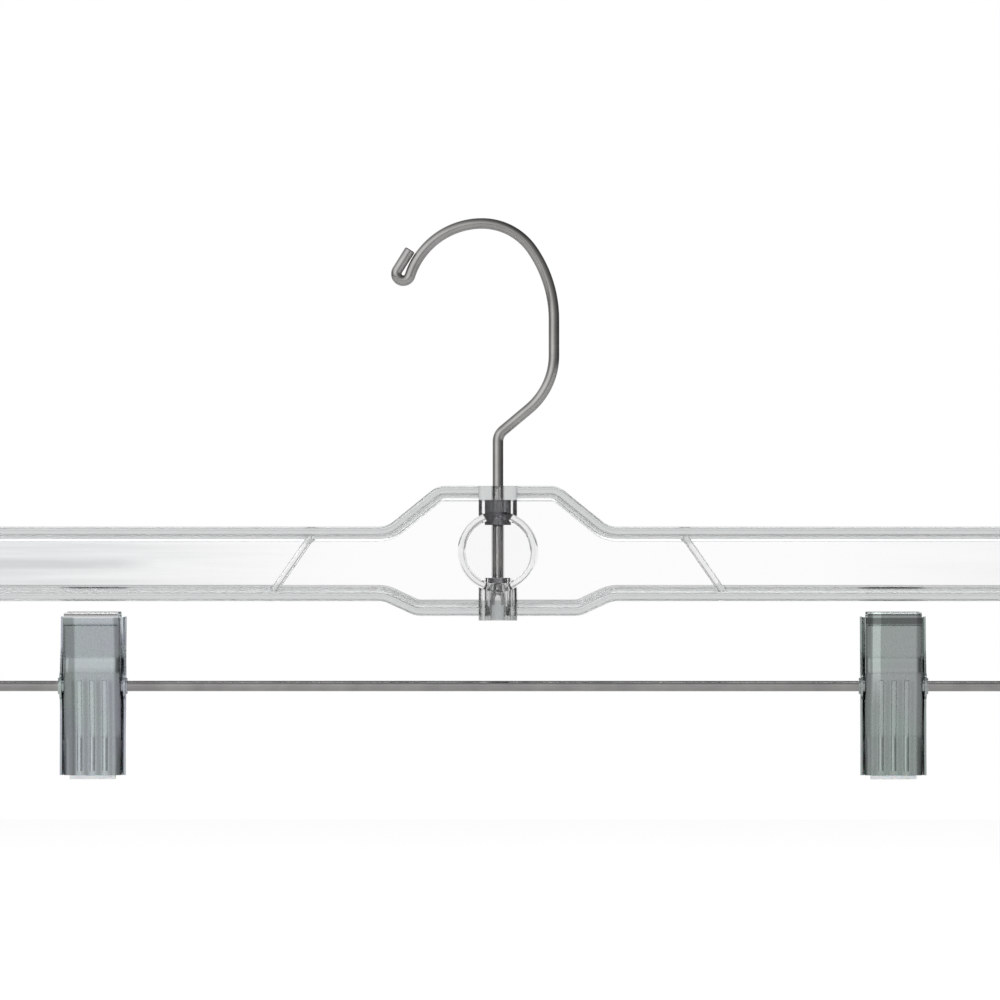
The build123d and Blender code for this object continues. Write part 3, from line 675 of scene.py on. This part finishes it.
        # A painted reflection: one long bright streak down its left side, from the bead to below the rod
        off_reflection = add_node(
            painted_light_zinc, "ShaderNodeMath", {0: across, 1: REFLECTION_OFF_MIDDLE, 2: REFLECTION_HALF_WIDTH},
            operation="COMPARE",
        ).outputs[0]
        above = add_node(
            painted_light_zinc, "ShaderNodeMapRange",
            {"Value": along.outputs["Z"], "From Min": rod_z - REFLECTION_FADE,
             "From Max": rod_z + REFLECTION_FADE, "To Min": 0.0, "To Max": tones_and_painted_light["streak_reflection"]},
        ).outputs["Result"]
        shade(painted_light_zinc, add_node(
            painted_light_zinc, "ShaderNodeMath", {0: off_reflection, 1: above, 2: 1.0}, operation="MULTIPLY_ADD"
        ).outputs[0])
    dress(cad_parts[f"{side}_front_jaw"], painted_light_zinc)

# Clip springs
# Hard drawn spring wire, wound on an arbor. The coil goes round the hinge tube and the two straight legs
# lie inside the finger tabs, so the coil twists when the clip is opened.
SPRING_WRAPS = 7
SPRING_SIDES = 16
DEGREES_PER_COIL_STEP = 12
SPRING_WIRE_RADIUS = 0.45 * MM
SPRING_PITCH = 1.45 * MM
SPRING_LEG = 12.5 * MM
TAB_TILT = math.radians(11)
coil_turn = 2 * math.pi * SPRING_WRAPS + math.pi - 2 * TAB_TILT
coil_length = SPRING_PITCH * coil_turn / (2 * math.pi)
coil_steps = round(math.degrees(coil_turn) / DEGREES_PER_COIL_STEP)
spring_steel = worked_steel(
    "hard_drawn_spring_wire", ("#7D7E81", "#6E6F72"), roughness=0.3, mark_width=0.2,
    stretch=(1, 1, 1), mark_strength=0.1,
)
for side in ("left", "right"):
    tube_low, tube_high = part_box(f"{side}_hinge_tube")
    spring_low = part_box(f"{side}_spring")[0]
    centre = (tube_low + tube_high) / 2
    half_coil = Vector((coil_length / 2, 0, 0))
    coil_radius = centre.z - spring_low.z - SPRING_WIRE_RADIUS
    first = centre - half_coil
    first += coil_radius * Vector((0, math.cos(TAB_TILT), -math.sin(TAB_TILT)))
    slope = coil_length / (coil_radius * coil_turn)
    coil = bmesh.new()
    way = Vector((slope, -math.sin(TAB_TILT), -math.cos(TAB_TILT))).normalized()
    ring = start_ring(coil, first - way * SPRING_LEG, way, SPRING_WIRE_RADIUS, SPRING_SIDES)
    bmesh.ops.contextual_create(coil, geom=ring)
    ring = draw_on(coil, ring, way * SPRING_LEG)
    step = (coil_length / coil_steps, 0, 0)
    ring = bend_on(coil, ring, centre, (1, 0, 0), -coil_turn, coil_steps, step)
    way = Vector((slope, -math.sin(TAB_TILT), math.cos(TAB_TILT))).normalized()
    ring = draw_on(coil, ring, way * SPRING_LEG)
    bmesh.ops.contextual_create(coil, geom=ring)
    spring = new_piece(coil, f"{side}_torsion_spring")
    smooth(spring)
    dress(spring, spring_steel)
    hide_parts(f"{side}_spring")
    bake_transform(spring)

# Clip pads
# Soft milky vinyl, moulded over the foot of each jaw. The gripping face is ridged across so that it holds
# cloth without marking it, and a lip covers the edge of the metal.
vinyl, output = new_material("soft_moulded_vinyl")
place = add_node(vinyl, "ShaderNodeTexCoord").outputs["Object"]
cloud = add_node(
    vinyl, "ShaderNodeTexNoise", {"Vector": place, "Scale": 1 / (2 * MM), "Detail": 2.0}
).outputs["Fac"]
tint = add_node(
    vinyl, "ShaderNodeMix",
    {"Factor": cloud, "A": linear("#E4E7E8"), "B": linear("#D6DADC")}, data_type="RGBA",
)
shader = add_node(
    vinyl, "ShaderNodeBsdfPrincipled",
    {"Roughness": 0.42, "IOR": 1.53, "Transmission Weight": 0.35,
     "Subsurface Weight": 0.3, "Subsurface Scale": 1 * MM},
)
vinyl.node_tree.links.new(tint.outputs[2], shader.inputs["Base Color"])
vinyl.node_tree.links.new(shader.outputs["BSDF"], output.inputs["Surface"])
PAD_LIP_HEIGHT = 1.28 * MM
PAD_THICKNESS = 1.58 * MM
PAD_EDGE_ROUND = 0.1 * MM
RIDGE_PITCH = 1.3 * MM
RIDGE_DEPTH = 0.3 * MM
# Where each groove between the ridges reaches its floor, leaves it and ends, down the pad
GROOVE_SHARES = (0.3, 0.5, 0.8)
for side in ("left", "right"):
    for facing, jaw in ((-1, "front"), (1, "rear")):
        low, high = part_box(f"{side}_{jaw}_pad")
        inner = min(abs(low.y), abs(high.y))
        outer = max(abs(low.y), abs(high.y))
        pad = bmesh.new()
        # The pad's outline from the side: down the ridged face, round the foot and the lip, up the back
        ridges = int((high.z - low.z - 2 * RIDGE_PITCH) / RIDGE_PITCH)
        outline = [(inner, high.z)]
        for ridge in range(ridges):
            top = high.z - RIDGE_PITCH * (ridge + 1)
            floor_top, floor_end, groove_end = (top - RIDGE_PITCH * share for share in GROOVE_SHARES)
            outline += [
                (inner, top), (inner + RIDGE_DEPTH, floor_top),
                (inner + RIDGE_DEPTH, floor_end), (inner, groove_end),
            ]
        outline += [
            (inner, low.z), (outer, low.z), (outer, low.z + PAD_LIP_HEIGHT),
            (inner + PAD_THICKNESS, low.z + PAD_LIP_HEIGHT), (inner + PAD_THICKNESS, high.z),
        ]
        verts = [pad.verts.new((low.x, facing * y, z)) for y, z in outline]
        face = pad.faces.new(verts)
        drawn = bmesh.ops.extrude_face_region(pad, geom=[face])["geom"]
        moved = [part for part in drawn if isinstance(part, bmesh.types.BMVert)]
        bmesh.ops.translate(pad, vec=(high.x - low.x, 0, 0), verts=moved)
        bmesh.ops.recalc_face_normals(pad, faces=pad.faces)
        bmesh.ops.bevel(
            pad, geom=pad.edges[:], offset=PAD_EDGE_ROUND, affect="EDGES", segments=2, profile=0.5,
            material=-1,
        )
        piece = new_piece(pad, f"{side}_{jaw}_vinyl_pad")
        smooth(piece, sharp_from=35)
        dress(piece, vinyl)
        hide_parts(f"{side}_{jaw}_pad")
        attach(piece, f"{side}_{jaw}")

# Studio
# A white room: a pale floor below the hanging object, soft lamps above it and in front, and surroundings
# that metal and clear plastic show as a white backdrop with darker sides.
FLOOR_DROP = 0.12
FLOOR_SIZE = 6.0
FLOOR_GLOW = 0.55
ROOM_LIGHT = 0.55
METAL_LEVEL = 1.3
low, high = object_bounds()
middle = (low + high) / 2
floor_mesh = bmesh.new()
bmesh.ops.create_grid(
    floor_mesh, x_segments=1, y_segments=1, size=FLOOR_SIZE / 2,
    matrix=Matrix.Translation((middle.x, middle.y, low.z - FLOOR_DROP)),
)
floor = new_piece(floor_mesh, "floor")
floor_paint, output = new_material("white_studio_floor")
seen = add_node(floor_paint, "ShaderNodeLightPath")
shown = add_node(floor_paint, "ShaderNodeBsdfDiffuse", {"Color": linear("#F2F2F2")}).outputs["BSDF"]
# Metal and clear plastic show it a little darker. A glow of its own keeps it white to the camera,
# wherever the object's shadow doesn't lie.
for ray, colour, strength in (
    ("Is Glossy Ray", "#BFBFBF", 0.0),
    ("Is Transmission Ray", "#DDDDDD", 0.0),
    ("Is Camera Ray", "#F2F2F2", FLOOR_GLOW),
):
    paint = add_node(floor_paint, "ShaderNodeBsdfDiffuse", {"Color": linear(colour)})
    glow = add_node(floor_paint, "ShaderNodeEmission", {"Strength": strength})
    look = add_node(
        floor_paint, "ShaderNodeAddShader", {0: paint.outputs["BSDF"], 1: glow.outputs["Emission"]}
    )
    shown = add_node(
        floor_paint, "ShaderNodeMixShader", {0: seen.outputs[ray], 1: shown, 2: look.outputs["Shader"]}
    ).outputs["Shader"]
floor_paint.node_tree.links.new(shown, output.inputs["Surface"])
dress(floor, floor_paint)

world = bpy.data.worlds.new("white_room")
bpy.context.scene.world = world
world.use_nodes = True
world.node_tree.nodes.clear()
room = add_node(world, "ShaderNodeOutputWorld")
seen = add_node(world, "ShaderNodeLightPath")
direction = add_node(world, "ShaderNodeTexCoord").outputs["Generated"]
split = add_node(world, "ShaderNodeSeparateXYZ", {"Vector": direction})
# The room's tones along its three axes, each from -1 to 1. Clear plastic shows a white backdrop behind
# and pale walls in front and at both sides, and its level edges bend the dark ceiling into view. Metal
# shows a room that is lighter on the left and above the camera, and darker on the right and overhead.
room_tones = [
    ("Y", [(-1, 0.85), (-0.85, 0.8), (-0.5, 0.45), (0.5, 0.45), (0.85, 1.0), (1, 1.0)]),
    ("X", [(-1, 0.9), (-0.8, 0.85), (-0.4, 0.3), (0.4, 0.3), (0.8, 0.85), (1, 0.9)]),
    ("X", [(-1, 0.35), (-0.85, 0.9), (-0.5, 1.1), (-0.2, 0.8), (0.1, 0.55), (0.4, 0.3), (1, 0.15)]),
    ("Y", [(-1, 1.0), (-0.3, 0.85), (0.1, 0.5), (0.75, 0.4), (0.9, 1.0), (1, 1.0)]),
    ("Z", [(-1, 0.5), (0, 0.9), (0.45, 1.0), (0.75, 0.6), (1, 0.4)]),
]
tones = []
for axis, stops in room_tones:
    share = add_node(
        world, "ShaderNodeMapRange", {"Value": split.outputs[axis], "From Min": -1, "From Max": 1}
    ).outputs["Result"]
    ramp = add_node(world, "ShaderNodeValToRGB", {"Fac": share})
    for reach, _ in stops[1:-1]:
        ramp.color_ramp.elements.new((reach + 1) / 2)
    for element, (reach, tone) in zip(ramp.color_ramp.elements, stops):
        element.position = (reach + 1) / 2
        element.color = (tone, tone, tone, 1)
    tones.append(ramp.outputs["Color"])
clear_view = add_node(
    world, "ShaderNodeMath", {0: tones[0], 1: tones[1]}, operation="MAXIMUM"
).outputs[0]
metal_view = METAL_LEVEL
for tone in tones[2:]:
    metal_view = add_node(
        world, "ShaderNodeMath", {0: metal_view, 1: tone}, operation="MULTIPLY"
    ).outputs[0]
shown = add_node(world, "ShaderNodeBackground", {"Strength": ROOM_LIGHT}).outputs["Background"]
for ray, strength in (
    ("Is Glossy Ray", metal_view), ("Is Transmission Ray", clear_view), ("Is Camera Ray", 1.0),
):
    look = add_node(world, "ShaderNodeBackground", {"Color": (1, 1, 1, 1), "Strength": strength})
    shown = add_node(
        world, "ShaderNodeMixShader",
        {0: seen.outputs[ray], 1: shown, 2: look.outputs["Background"]},
    ).outputs["Shader"]
world.node_tree.links.new(shown, room.inputs["Surface"])

# Each lamp's place from the object's middle, its side in metres and its power in watts
lamps = [
    ("key_softbox", (-0.7, -1.1, 0.75), 1.2, 14),
    ("fill_softbox", (1.0, -0.9, 0.25), 1.2, 6),
    ("top_softbox", (0.1, 0.1, 1.1), 1.4, 12),
]
for name, position, size, power in lamps:
    light = bpy.data.lights.new(name, "AREA")
    light.shape = "SQUARE"
    light.size = size
    light.energy = power
    lamp = bpy.data.objects.new(name, light)
    bpy.context.scene.collection.objects.link(lamp)
    lamp.location = middle + Vector(position)
    lamp.rotation_euler = (middle - lamp.location).to_track_quat("-Z", "Y").to_euler()
    # Metal shows the room's own tones, so the lamps don't add square white patches to it
    lamp.visible_glossy = False

# Camera
# Level with the bar, about 3 m in front of it and half a degree to the right, with a long lens, so that
# the clips show hardly more than their faces. The ends of the bar reach past both edges of the picture.
PICTURE_PIXELS = 1000
PIXELS_PER_MM = 3
CAMERA_DISTANCE = 3000 * MM
CAMERA_TURN = math.radians(0.5)
VIEW_CENTRE = Vector((6.0 * MM, 0, -90.4 * MM))
picture_width = PICTURE_PIXELS / PIXELS_PER_MM * MM
lens = bpy.data.cameras.new("camera")
lens.lens = lens.sensor_width * CAMERA_DISTANCE / picture_width
camera = bpy.data.objects.new("camera", lens)
bpy.context.scene.collection.objects.link(camera)
sight_line = Matrix.Rotation(CAMERA_TURN, 3, "Z") @ Vector((0, 1, 0))
camera.location = VIEW_CENTRE - CAMERA_DISTANCE * sight_line
camera.rotation_euler = (math.pi / 2, 0, CAMERA_TURN)
bpy.context.scene.camera = camera
bpy.context.scene.view_settings.view_transform = "Standard"
